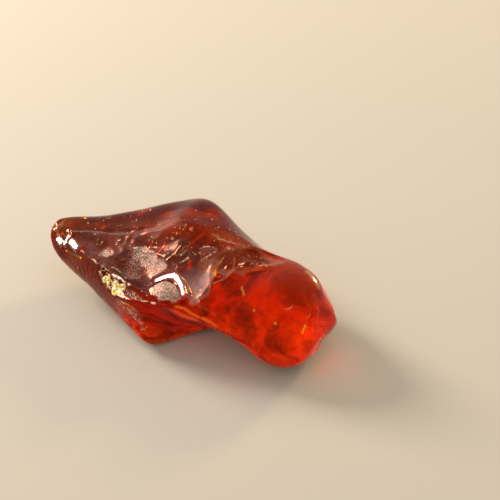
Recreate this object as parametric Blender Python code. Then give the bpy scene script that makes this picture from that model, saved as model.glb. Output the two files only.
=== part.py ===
"""A raw amber piece: one pebble of fossil resin, 36 mm long, lying on its worn underside.

The surface is a net of rails. A rail is a line that runs from the narrow tip (-X) to the rounded lobe (+X),
such as the front ridge or the rim at the back. Every rail has one point at each station along X, so the rails
and stations make a net of four-sided faces. Subdivision rounds the net, and creases keep the ridges.

Sizes in the tables are millimetres. +X runs from tip to lobe, -Y is the front and +Z is up.
"""

import bmesh
import bpy
import numpy as np

MM = 0.001
SUBDIVISIONS = 4
FITTING_ROUNDS = 6
TRIANGLES = 9400
RIM_RISE = 0.4  # how much a scar's floor turns up at the edge of its oval
SCAR_CUT = 3.0  # how far above its floor a scar still cuts
SCAR_SPREAD = 4.0  # how far past its oval a scar reaches, as a squared ratio
MOUND_REACH = 2.0  # how far from a mound's middle plane the surface is still lifted
MOUND_FALL = 1.5  # how softly a mound fades out
LINE_FALL = 0.8  # how sharply a trench or a welt fades out

STATIONS = [-17.2, -15.0, -12.5, -10.0, -7.5, -5.0, -2.8, -0.8, 1.6, 4.5, 7.5, 10.5, 13.5, 16.5]

# Each rail: (y, z) at every station, in the order of STATIONS.
RAILS = {
    "foot": [(-2.4, 4.2), (-3.5, 3.2), (-4.5, 2.9), (-5.5, 2.4), (-6.6, 1.8), (-7.8, 1.5), (-8.4, 0.8),
             (-8.1, 0.2), (-5.8, 0.1), (-3.8, 0.8), (-4.4, 1.6), (-5.7, 1.3), (-6.2, 0.8), (-4.8, 1.5)],
    "flank": [(-2.7, 5.0), (-3.5, 4.9), (-4.8, 4.9), (-6.0, 4.8), (-7.2, 4.8), (-8.3, 4.5), (-8.9, 3.2),
              (-8.7, 1.6), (-6.6, 2.2), (-5.2, 2.8), (-6.0, 3.0), (-7.3, 2.8), (-7.6, 2.0), (-6.1, 2.3)],
    "ridge": [(-2.4, 5.8), (-2.8, 6.3), (-3.9, 6.5), (-5.1, 6.5), (-6.6, 6.1), (-8.0, 6.0), (-8.4, 6.2),
              (-8.2, 6.6), (-8.0, 6.3), (-7.7, 5.4), (-7.6, 4.6), (-7.9, 4.2), (-7.8, 3.6), (-6.3, 3.6)],
    "apron": [(-2.1, 6.4), (-2.3, 6.6), (-3.0, 6.6), (-3.7, 6.6), (-4.6, 6.5), (-5.2, 6.6), (-5.1, 7.1),
              (-4.8, 7.5), (-4.6, 7.3), (-5.2, 6.8), (-5.6, 6.6), (-6.4, 6.3), (-6.6, 5.9), (-5.8, 5.1)],
    "saddle": [(-1.6, 6.8), (-1.8, 6.8), (-2.0, 6.7), (-2.1, 6.8), (-2.2, 7.1), (-2.0, 7.6), (-1.6, 8.5),
               (-1.2, 8.6), (-1.0, 8.3), (-1.6, 8.1), (-2.2, 8.0), (-3.0, 8.0), (-3.4, 7.9), (-3.1, 6.7)],
    "crest": [(-1.0, 7.0), (-1.2, 6.9), (-1.0, 7.0), (-0.6, 7.2), (-0.1, 7.8), (0.8, 8.7), (1.7, 9.9),
              (2.4, 9.8), (2.8, 9.0), (2.6, 8.8), (1.4, 8.8), (0.2, 8.8), (-0.4, 8.7), (-0.9, 7.2)],
    "shelf": [(0.0, 7.0), (0.7, 7.2), (1.4, 7.2), (2.2, 7.5), (3.0, 8.2), (4.0, 8.9), (4.8, 9.9),
              (5.3, 9.4), (4.8, 9.0), (4.0, 8.7), (3.2, 8.5), (2.6, 8.6), (2.0, 8.4), (0.7, 6.5)],
    "rim": [(0.8, 6.3), (2.0, 6.5), (3.0, 6.9), (4.2, 7.5), (5.4, 8.2), (6.8, 8.8), (8.0, 9.1),
            (8.1, 8.8), (7.2, 8.0), (5.9, 7.3), (4.8, 6.9), (4.0, 7.3), (3.6, 6.6), (2.0, 4.9)],
    "nape": [(1.2, 5.5), (2.7, 5.4), (4.0, 5.6), (5.5, 5.9), (6.9, 6.3), (8.2, 6.7), (9.2, 6.6),
             (9.0, 5.8), (8.1, 5.2), (7.0, 4.9), (6.2, 4.8), (5.6, 4.9), (4.8, 4.4), (2.7, 3.5)],
    "heel": [(0.6, 4.6), (2.2, 4.0), (3.7, 3.5), (5.2, 3.2), (6.6, 3.0), (7.8, 3.0), (8.6, 2.8),
             (8.3, 2.4), (7.4, 2.1), (6.4, 2.0), (5.7, 2.0), (5.1, 2.0), (4.2, 1.9), (2.0, 1.9)],
    "sole_back": [(-0.2, 4.1), (0.8, 3.2), (1.8, 2.5), (2.8, 1.7), (3.6, 1.0), (4.3, 0.4), (4.6, -0.2),
                  (4.2, -0.4), (3.6, -0.4), (3.0, -0.2), (2.6, 0.0), (2.2, -0.2), (1.6, -0.1), (0.4, 1.2)],
    "sole_front": [(-1.2, 4.0), (-1.2, 3.1), (-1.6, 2.3), (-2.1, 1.5), (-2.5, 0.8), (-2.8, 0.2),
                   (-2.8, -0.3), (-2.2, -0.5), (-1.6, -0.4), (-1.0, 0.0), (-1.4, 0.2), (-2.4, -0.3),
                   (-3.0, -0.3), (-2.5, 1.0)],
}

# How sharp a rail is, from 0 to 1, on each of its stretches from one station to the next.
CREASES = {
    "ridge": [0.2, 0.4, 0.6, 0.7, 0.7, 0.8, 0.9, 0.9, 0.8, 0.6, 0.3, 0.1, 0.0],
    "flank": [0.0, 0.2, 0.3, 0.4, 0.5, 0.6, 0.7, 0.2, 0.0, 0.0, 0.0, 0.0, 0.0],
    "crest": [0.0, 0.3, 0.5, 0.5, 0.5, 0.5, 0.5, 0.4, 0.2, 0.0, 0.0, 0.0, 0.0],
}

# Inner points of the two rounded ends, as (x, y, z), in the order of a two by two patch.
TIP_END = [(-17.9, -1.5, 5.0), (-18.0, -0.2, 5.0), (-18.0, -1.3, 6.2), (-18.0, 0.0, 6.2)]
LOBE_END = [(17.2, -3.4, 2.9), (17.7, 0.1, 2.8), (17.7, -3.3, 4.6), (18.1, -0.1, 4.5)]

# A scar is where a shell-shaped flake came off: the middle of its floor, the way the floor faces, half its
# length and width, the heading of its length in degrees (0 is +X, seen from above) and how much the floor is
# dished.
SCARS = {
    "frosted bowl": ((-4.9, -4.0, 5.9), (-0.08, -0.22, 0.97), 4.4, 2.8, -20, 1.1),
    "bowl end": ((-3.1, -3.2, 7.1), (-0.43, -0.37, 0.82), 2.4, 1.7, -30, 0.2),
    "tip-side dish": ((-9.8, -2.8, 6.6), (-0.1, -0.2, 1.0), 2.6, 1.5, -20, 0.0),
    "glossy scoop": ((1.7, -3.9, 7.2), (0.15, -0.28, 0.95), 3.2, 2.2, -60, 0.1),
    "flow face": ((-3.4, -0.6, 8.3), (-0.2, -0.5, 0.85), 3.6, 1.6, 20, 0.1),
    "shell scar": ((4.6, -1.7, 7.9), (0.0, -0.25, 0.97), 2.2, 1.5, 65, 0.1),
    "shell scar core": ((4.2, -1.5, 7.8), (0.1, -0.25, 0.97), 1.3, 0.7, 65, 0.1),
    "neck break": ((7.4, 1.4, 8.2), (0.1, 0.05, 1.0), 3.0, 1.8, 20, 0.3),
    "neck chip": ((9.2, 1.1, 8.4), (0.3, 0.2, 0.9), 0.9, 0.7, 20, 0.3),
    "tip pit": ((-15.8, -2.2, 6.4), (0.0, -0.5, 0.85), 0.6, 0.5, 0, 0.3),
    "tip flat": ((-16.7, -2.2, 6.35), (-0.43, -0.39, 0.81), 0.8, 0.6, -20, 0.1),
    "tip edge": ((-14.2, -3.1, 6.35), (-0.43, -0.39, 0.81), 1.2, 0.7, -30, 0.1),
    "strip flat": ((-5.6, -8.1, 3.2), (-0.45, -0.88, 0.1), 4.4, 1.5, -20, 0.1),
    "lobe nick": ((17.2, -2.4, 2.4), (0.8, -0.45, -0.3), 0.9, 0.7, 60, 0.3),
    "lobe flake": ((12.5, 4.2, 5.8), (0.2, 0.85, 0.5), 3.2, 1.6, -15, 0.1),
    "lobe back": ((17.0, 1.4, 4.2), (0.82, 0.54, 0.2), 3.0, 1.8, 60, 0.0),
    "back flake": ((-8.3, 6.1, 6.1), (-0.5, 0.83, 0.24), 4.6, 1.5, 30, 0.1),
    "back low flake": ((-3.5, 8.6, 4.6), (-0.38, 0.91, -0.1), 3.4, 1.8, 20, 0.1),
    "back corner": ((1.3, 7.7, 6.4), (0.45, 0.85, 0.25), 2.6, 2.0, -27, 0.1),
    "nape dish": ((6.5, 6.2, 4.6), (0.23, 0.95, 0.15), 3.4, 1.8, -12, 0.1),
    "belly dish": ((-8.6, -0.6, 1.4), (-0.28, 0.0, -0.96), 4.4, 2.8, 12, 0.2),
    "belly pit": ((2.6, -3.0, 0.5), (0.1, -0.4, -0.9), 1.8, 1.4, 40, 0.4),
    "sole dish": ((7.0, 0.6, 0.5), (0.0, 0.0, -1.0), 2.8, 2.2, 0, 0.5),
}

# A mound is a low oval swelling: its middle, half its length and width, its heading and its height.
MOUNDS = {
    "frosted mound": ((-0.1, -6.6, 7.0), 2.2, 1.5, -15, 0.5),
    "raised flake": ((2.0, -0.1, 8.5), 1.5, 0.9, 45, 0.2),
    "neck lump": ((6.9, 0.0, 8.2), 1.0, 0.7, 20, 0.35),
    "second neck lump": ((8.3, 0.9, 8.4), 0.8, 0.5, 30, 0.3),
    "lobe swell": ((11.4, -2.2, 8.2), 4.0, 2.6, 20, 0.25),
    "lobe shoulder": ((14.6, 1.2, 7.6), 2.6, 1.6, -50, 0.3),
}

# A line is a row of places on the surface with the half width and the depth at each. Trenches go in. Welts,
# which have a depth below zero, stand out.
LINES = {
    "fissure": [(-10.2, -4.7, 6.5, 0.2, 0.1), (-9.2, -5.3, 6.4, 0.4, 0.6), (-8.4, -6.0, 6.2, 0.6, 0.9),
                (-7.2, -6.8, 6.0, 0.8, 1.0), (-5.9, -7.4, 6.0, 0.8, 1.0), (-4.4, -7.9, 6.1, 0.6, 0.8),
                (-2.6, -8.1, 6.4, 0.4, 0.6), (-0.4, -8.2, 6.6, 0.3, 0.3)],
    "fissure lip": [(-9.4, -4.7, 6.4, 0.3, -0.1), (-7.3, -5.6, 6.3, 0.4, -0.4), (-5.5, -6.4, 6.3, 0.4, -0.5),
                    (-3.3, -7.2, 6.5, 0.4, -0.4), (-1.4, -7.8, 6.7, 0.3, -0.1)],
    "mound moat": [(-2.4, -6.4, 6.9, 0.5, 0.2), (-1.9, -5.3, 7.2, 0.6, 0.5), (-0.6, -4.7, 7.6, 0.7, 0.6),
                   (0.8, -4.8, 7.4, 0.7, 0.6), (1.8, -5.7, 7.0, 0.6, 0.6), (2.3, -6.7, 6.7, 0.5, 0.4)],
    "scoop rim": [(3.0, -6.5, 6.4, 0.4, -0.1), (3.8, -5.4, 6.7, 0.5, -0.3), (4.0, -4.0, 7.4, 0.5, -0.3),
                  (3.4, -2.2, 7.9, 0.4, -0.2), (3.1, -0.6, 8.4, 0.3, -0.1)],
    "crest fold": [(-13.0, -0.6, 7.0, 0.4, 0.1), (-8.3, 0.7, 7.8, 0.5, 0.3), (-4.7, 1.6, 9.0, 0.5, 0.3),
                   (-2.4, 2.5, 10.0, 0.4, 0.2)],
    "tip ring": [(-14.7, -3.0, 6.1, 0.3, -0.2), (-14.9, -2.4, 6.6, 0.3, -0.3), (-15.5, -1.5, 6.9, 0.3, -0.2)],
    "ripple": [(-1.8, -2.7, 8.2, 0.25, -0.1), (-1.2, -1.9, 8.4, 0.25, -0.15), (-1.2, -0.6, 8.9, 0.2, -0.1)],
    "short ripple": [(-0.7, -1.8, 8.4, 0.25, -0.1), (-0.6, -0.5, 8.8, 0.2, -0.1)],
    "low ripple": [(-0.2, -2.6, 8.1, 0.25, -0.1), (0.4, -1.3, 8.4, 0.2, -0.1)],
    "neck ledge": [(5.6, -2.4, 7.9, 0.3, -0.1), (6.2, -1.1, 8.3, 0.4, -0.3), (7.4, -0.7, 8.3, 0.4, -0.3),
                   (8.8, 0.1, 8.7, 0.4, -0.4), (9.7, 1.4, 8.8, 0.3, -0.2)],
    "lobe bevel": [(15.0, -0.8, 8.0, 0.6, -0.1), (16.3, -2.4, 6.9, 0.6, -0.2), (16.7, -4.2, 5.6, 0.6, -0.2),
                   (15.6, -6.4, 4.2, 0.6, -0.1)],
    "back seam": [(-13.6, 3.0, 4.4, 0.3, 0.1), (-9.0, 5.7, 4.2, 0.4, 0.3), (-4.0, 7.8, 4.4, 0.4, 0.3),
                  (1.0, 8.0, 4.0, 0.3, 0.1)],
}


def cap_faces(ring, inner):
    """A ring of twelve points closed by a patch of three by three faces with four inner points."""
    a, b, c, d = inner
    rows = [
        [ring[11], ring[10], ring[9], ring[8]],
        [ring[0], a, b, ring[7]],
        [ring[1], c, d, ring[6]],
        [ring[2], ring[3], ring[4], ring[5]],
    ]
    return [
        (rows[r][k], rows[r][k + 1], rows[r + 1][k + 1], rows[r + 1][k])
        for r in range(3)
        for k in range(3)
    ]


def net():
    """Points, faces and creased edges of the net."""
    names = list(RAILS)
    around = len(names)
    points = [(x, *RAILS[name][i]) for i, x in enumerate(STATIONS) for name in names]
    rings = [list(range(i * around, (i + 1) * around)) for i in range(len(STATIONS))]
    faces = [
        (near[k], near[(k + 1) % around], far[(k + 1) % around], far[k])
        for near, far in zip(rings, rings[1:])
        for k in range(around)
    ]
    for ring, end in ((rings[0], TIP_END), (rings[-1], LOBE_END)):
        faces += cap_faces(ring, range(len(points), len(points) + len(end)))
        points += end
    creases = {
        frozenset((rings[i][names.index(name)], rings[i + 1][names.index(name)])): sharp
        for name, sharps in CREASES.items()
        for i, sharp in enumerate(sharps)
    }
    return np.array(points) * MM, faces, creases


def rounded(points, faces, creases):
    """An object whose rounded surface passes through the points.

    Rounding draws a surface in from its net, so the net is pushed out by what was lost, a few times over.
    """
    mesh = bpy.data.meshes.new("raw_amber")
    mesh.from_pydata(points, [], faces)
    work = bmesh.new()
    work.from_mesh(mesh)
    bmesh.ops.recalc_face_normals(work, faces=work.faces)
    layer = work.edges.layers.float.new("crease_edge")
    for edge in work.edges:
        edge[layer] = creases.get(frozenset(v.index for v in edge.verts), 0.0)
    work.to_mesh(mesh)
    work.free()
    amber = bpy.data.objects.new("raw_amber", mesh)
    bpy.context.scene.collection.objects.link(amber)
    smooth = amber.modifiers.new("rounding", "SUBSURF")
    smooth.levels = smooth.render_levels = SUBDIVISIONS
    net_points = points.copy()
    for _ in range(FITTING_ROUNDS):
        graph = bpy.context.evaluated_depsgraph_get()
        surface = amber.evaluated_get(graph).data
        reached = np.array([surface.vertices[i].co for i in range(len(points))])
        net_points += points - reached
        mesh.vertices.foreach_set("co", net_points.astype(np.float32).ravel())
        mesh.update()
        bpy.context.view_layer.update()
    return amber


def axes(facing, heading):
    """Two directions in the plane that faces a given way: along a heading, and across it."""
    turn = np.radians(heading)
    along = np.array([np.cos(turn), np.sin(turn), 0.0])
    along -= facing * (along @ facing)
    along /= np.linalg.norm(along)
    return along, np.cross(facing, along)


def vectors(items, name):
    """One vector of every vertex, such as co or normal, as rows of an array."""
    flat = np.empty(len(items) * 3, dtype=np.float32)
    items.foreach_get(name, flat)
    return flat.reshape(-1, 3).astype(float)


def scar_push(points, normals, place, facing, long, wide, heading, dish):
    """How far each point goes in to the floor of one scar, for the points that stand above it."""
    facing = np.array(facing) / np.linalg.norm(facing)
    along, across = axes(facing, heading)
    offsets = points - np.array(place)
    height = offsets @ facing
    reach = (offsets @ along / long) ** 2 + (offsets @ across / wide) ** 2
    above = np.clip(height - (dish + RIM_RISE) * reach, 0.0, None)
    near = (height < SCAR_CUT) & (normals @ facing > 0.0) & (reach < SCAR_SPREAD)
    return -(above * near)[:, None] * facing


def mound_push(points, normals, place, long, wide, heading, height):
    """How far each point comes out for one mound, the way the surface faces in its middle."""
    offsets = points - np.array(place)
    facing = normals[np.argmin((offsets ** 2).sum(axis=1))]
    along, across = axes(facing, heading)
    reach = (offsets @ along / long) ** 2 + (offsets @ across / wide) ** 2
    near = (np.abs(offsets @ facing) < MOUND_REACH) & (normals @ facing > 0.0)
    return (height * np.clip(1.0 - reach, 0.0, 1.0) ** MOUND_FALL * near)[:, None] * facing


def line_push(points, normals, line):
    """How far the surface goes in at each point for one line, along its own direction."""
    best = np.full(len(points), np.inf)
    depth = np.zeros(len(points))
    for start, end in zip(line, line[1:]):
        start, end = np.array(start), np.array(end)
        run = end[:3] - start[:3]
        along = np.clip((points - start[:3]) @ run / (run @ run), 0.0, 1.0)
        spot = start + along[:, None] * (end - start)
        reach = np.linalg.norm(points - spot[:, :3], axis=1) / spot[:, 3]
        closer = reach < best
        best[closer] = reach[closer]
        depth[closer] = spot[closer, 4]
    return -(depth * np.clip(1.0 - best, 0.0, None) ** LINE_FALL)[:, None] * normals


def carved(amber):
    """Gives the object its rounded surface as a mesh, with the hollows, mounds, trenches and welts in it."""
    graph = bpy.context.evaluated_depsgraph_get()
    mesh = bpy.data.meshes.new_from_object(amber.evaluated_get(graph))
    amber.modifiers.clear()
    amber.data = mesh
    points = vectors(mesh.vertices, "co") / MM
    normals = vectors(mesh.vertices, "normal")
    for scar in SCARS.values():
        points += scar_push(points, normals, *scar)
    for mound in MOUNDS.values():
        points += mound_push(points, normals, *mound)
    points += sum(line_push(points, normals, line) for line in LINES.values())
    mesh.vertices.foreach_set("co", (points * MM).astype(np.float32).ravel())
    mesh.update()


def grounded(amber):
    """Wears the underside flat where the piece rests, and puts the origin at the bottom centre of its box."""
    work = bmesh.new()
    work.from_mesh(amber.data)
    everything = work.verts[:] + work.edges[:] + work.faces[:]
    bmesh.ops.bisect_plane(work, geom=everything, plane_co=(0, 0, 0), plane_no=(0, 0, 1), clear_inner=True)
    bmesh.ops.holes_fill(work, edges=[edge for edge in work.edges if edge.is_boundary])
    bmesh.ops.triangulate(work, faces=work.faces)
    spots = np.array([v.co for v in work.verts])
    centre = (spots.min(axis=0) + spots.max(axis=0)) / 2
    bmesh.ops.translate(work, verts=work.verts, vec=(-centre[0], -centre[1], 0))
    work.to_mesh(amber.data)
    work.free()


def thinned(amber):
    """Leaves fewer triangles, most of them where the surface bends."""
    thin = amber.modifiers.new("thinning", "DECIMATE")
    thin.ratio = TRIANGLES / (2 * len(amber.data.polygons))
    graph = bpy.context.evaluated_depsgraph_get()
    mesh = bpy.data.meshes.new_from_object(amber.evaluated_get(graph))
    amber.modifiers.clear()
    amber.data = mesh


def amber_material():
    """Clear red-orange resin."""
    material = bpy.data.materials.new("amber")
    material.use_nodes = True
    shader = material.node_tree.nodes["Principled BSDF"]
    shader.inputs["Base Color"].default_value = (0.55, 0.08, 0.01, 1.0)
    shader.inputs["Roughness"].default_value = 0.2
    shader.inputs["Metallic"].default_value = 0.0
    shader.inputs["IOR"].default_value = 1.54
    return material


def main():
    for old in list(bpy.data.objects):
        bpy.data.objects.remove(old)
    amber = rounded(*net())
    carved(amber)
    thinned(amber)
    grounded(amber)
    amber.data.materials.append(amber_material())
    for face in amber.data.polygons:
        face.use_smooth = True
    print("amber:", len(amber.data.polygons), "triangles")


main()
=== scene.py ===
import math

import bmesh
import bpy
import numpy as np
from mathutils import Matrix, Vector, noise


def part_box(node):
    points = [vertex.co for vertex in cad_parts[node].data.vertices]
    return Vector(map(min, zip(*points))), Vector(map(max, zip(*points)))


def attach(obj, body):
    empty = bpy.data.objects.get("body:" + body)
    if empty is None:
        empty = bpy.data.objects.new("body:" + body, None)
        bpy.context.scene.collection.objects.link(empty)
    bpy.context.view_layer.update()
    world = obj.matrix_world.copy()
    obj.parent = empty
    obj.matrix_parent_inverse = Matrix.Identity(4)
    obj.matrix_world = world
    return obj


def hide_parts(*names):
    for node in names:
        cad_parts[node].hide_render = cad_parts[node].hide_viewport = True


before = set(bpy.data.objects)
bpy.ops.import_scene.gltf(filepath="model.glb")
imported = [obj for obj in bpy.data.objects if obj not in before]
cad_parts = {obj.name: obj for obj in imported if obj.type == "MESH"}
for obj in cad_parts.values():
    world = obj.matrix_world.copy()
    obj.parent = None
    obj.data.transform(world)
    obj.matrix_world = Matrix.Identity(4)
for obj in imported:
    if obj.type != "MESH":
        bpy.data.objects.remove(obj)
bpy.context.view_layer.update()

mm = 0.001


def linear(hexColour, alpha=1.0):
    # sRGB hex to the linear values that Blender works in
    parts = [int(hexColour[i:i + 2], 16) / 255 for i in (1, 3, 5)]
    return [p / 12.92 if p <= 0.04045 else ((p + 0.055) / 1.055) ** 2.4 for p in parts] + [alpha]


def newObject(name, data):
    thing = bpy.data.objects.new(name, data)
    bpy.context.scene.collection.objects.link(thing)
    return thing


def fill(tree, node, inputs):
    # gives each input a value or a link; they go by name or by number, and a mix node has its factor at 0,
    # and its two values at 2 and 3 or its two colours at 6 and 7
    for key, value in inputs.items():
        if isinstance(value, bpy.types.NodeSocket):
            tree.links.new(value, node.inputs[key])
        else:
            node.inputs[key].default_value = value


def addNode(tree, kind, inputs=None, **settings):
    node = tree.nodes.new(kind)
    for name, value in settings.items():
        setattr(node, name, value)
    fill(tree, node, inputs or {})
    return node


def startMaterial(name):
    material = bpy.data.materials.new(name)
    material.use_nodes = True
    return material, material.node_tree, material.node_tree.nodes["Principled BSDF"]


# ---- camera and light

cameraSetup = {
    "azimuth": 25.0,  # degrees round from the front towards the lobe
    "elevation": 40.0,
    "lens": 120.0,
    "distance": 196.1,  # mm
    "target": (4.4, 6.15, 5.0),  # mm; off the middle, so that the piece sits left of centre
}


def fromAngles(azimuth, elevation):
    a, e = math.radians(azimuth), math.radians(elevation)
    return Vector((math.sin(a) * math.cos(e), -math.cos(a) * math.cos(e), math.sin(e)))


def makeCamera(setup):
    lens = bpy.data.cameras.new("camera")
    lens.lens = setup["lens"]
    lens.clip_start = 1 * mm
    camera = newObject("camera", lens)
    back = fromAngles(setup["azimuth"], setup["elevation"])
    camera.location = (Vector(setup["target"]) + back * setup["distance"]) * mm
    camera.rotation_euler = back.to_track_quat("Z", "Y").to_euler()
    bpy.context.scene.camera = camera


studio = {
    "lamps": {  # sizes and distances in mm, power in watts
        "key": {"from": (-0.887, 0.186, 0.45), "distance": 320, "size": 120, "power": 2.0, "tint": "#FFECD6"},
        "rim": {"from": (0.27, 0.89, 0.36), "distance": 420, "size": 80, "power": 1.2, "tint": "#FFD88C"},
    },
    "sky": "#E4DCD2",
    "skyStrength": 1.2,
    "board": "#A29F99",
    "boardRoughness": 0.9,
    "boardHalf": 0.6,  # m
    "boardGap": 0.05,  # mm under the piece, so that light still passes between them
}


def makeLights(setup):
    for name, values in setup["lamps"].items():
        lamp = bpy.data.lights.new(name, "AREA")
        lamp.shape = "DISK"
        lamp.size = values["size"] * mm
        lamp.energy = values["power"]
        lamp.color = linear(values["tint"])[:3]
        holder = newObject(name, lamp)
        direction = Vector(values["from"]).normalized()
        holder.location = direction * values["distance"] * mm
        holder.rotation_euler = direction.to_track_quat("Z", "Y").to_euler()
    world = bpy.data.worlds.new("studio")
    world.use_nodes = True
    fill(world.node_tree, world.node_tree.nodes["Background"], {
        "Color": linear(setup["sky"]), "Strength": setup["skyStrength"]})
    bpy.context.scene.world = world
    bpy.context.scene.view_settings.view_transform = "Standard"


def makeFloor(setup):
    # a pale matt board
    half, gap = setup["boardHalf"], setup["boardGap"] * mm
    corners = [(-half, -half, -gap), (half, -half, -gap), (half, half, -gap), (-half, half, -gap)]
    mesh = bpy.data.meshes.new("floor")
    mesh.from_pydata(corners, [], [(0, 1, 2, 3)])
    board, tree, shader = startMaterial("paleBoard")
    fill(tree, shader, {"Base Color": linear(setup["board"]), "Roughness": setup["boardRoughness"]})
    mesh.materials.append(board)
    floor = newObject("floor", mesh)


makeCamera(cameraSetup)
makeLights(studio)
makeFloor(studio)
print("camera, lights and floor are set")

# ---- the pebble's form

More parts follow.
